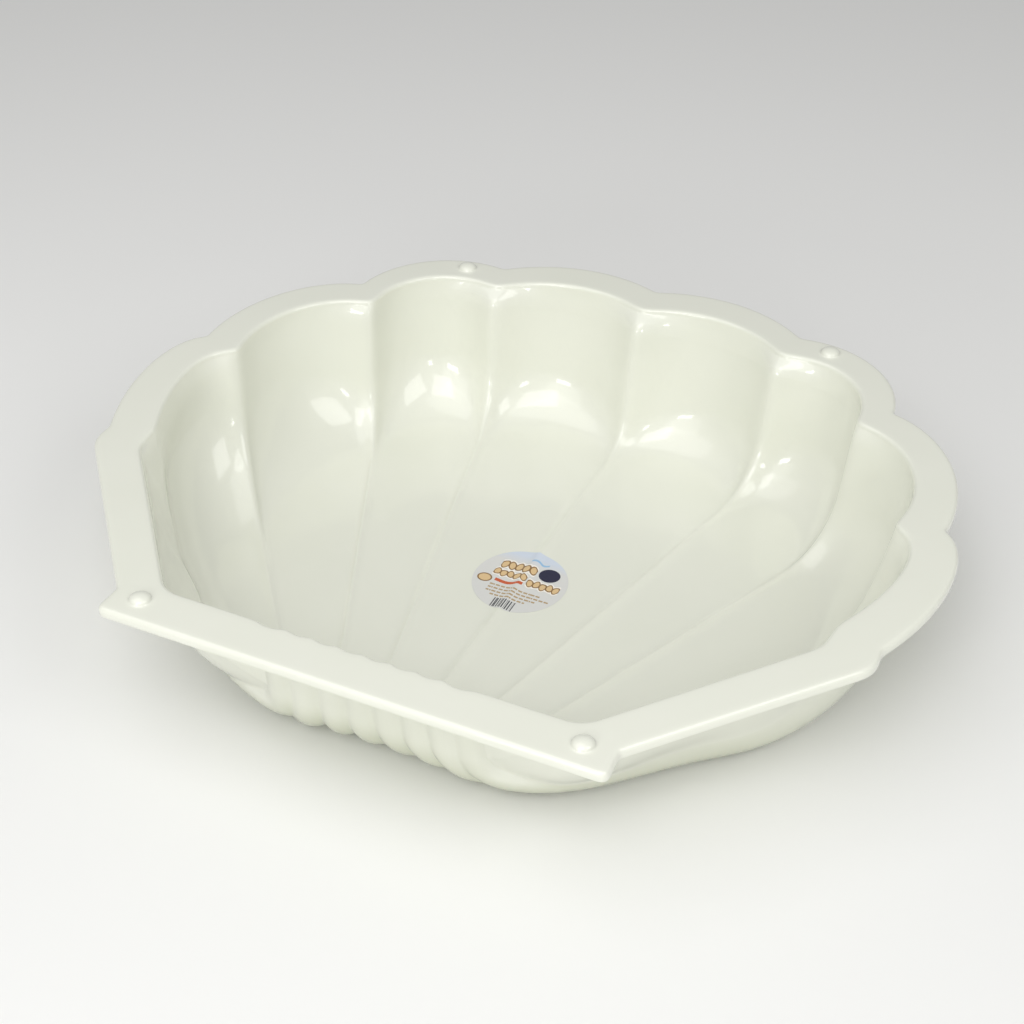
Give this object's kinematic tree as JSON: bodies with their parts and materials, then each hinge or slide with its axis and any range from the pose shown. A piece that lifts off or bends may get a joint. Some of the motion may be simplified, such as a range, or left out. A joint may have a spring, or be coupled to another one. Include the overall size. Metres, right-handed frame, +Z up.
{
  "type": "moulded clam-shell paddling pool half",
  "caption": "Shallow scalloped plastic tub shaped like half a clam shell, open upwards, with a flat flange, turned-down lip, radiating ridges and a round floor label.",
  "frame": {"origin": "on the ground under the middle of the tub's bounding box", "axes": "+X across the shell, parallel to its straight hinge side; +Y from the hinge side to the scalloped side; +Z up, out of the open mouth"},
  "size_m": [1.018, 0.8762, 0.192],
  "materials": {
    "shell_plastic": "gloss",
    "label_paper": "satin"
  },
  "bodies": {
    "root": {"shell_tub": "shell_plastic", "label": "label_paper"}
  },
  "joints": []
}
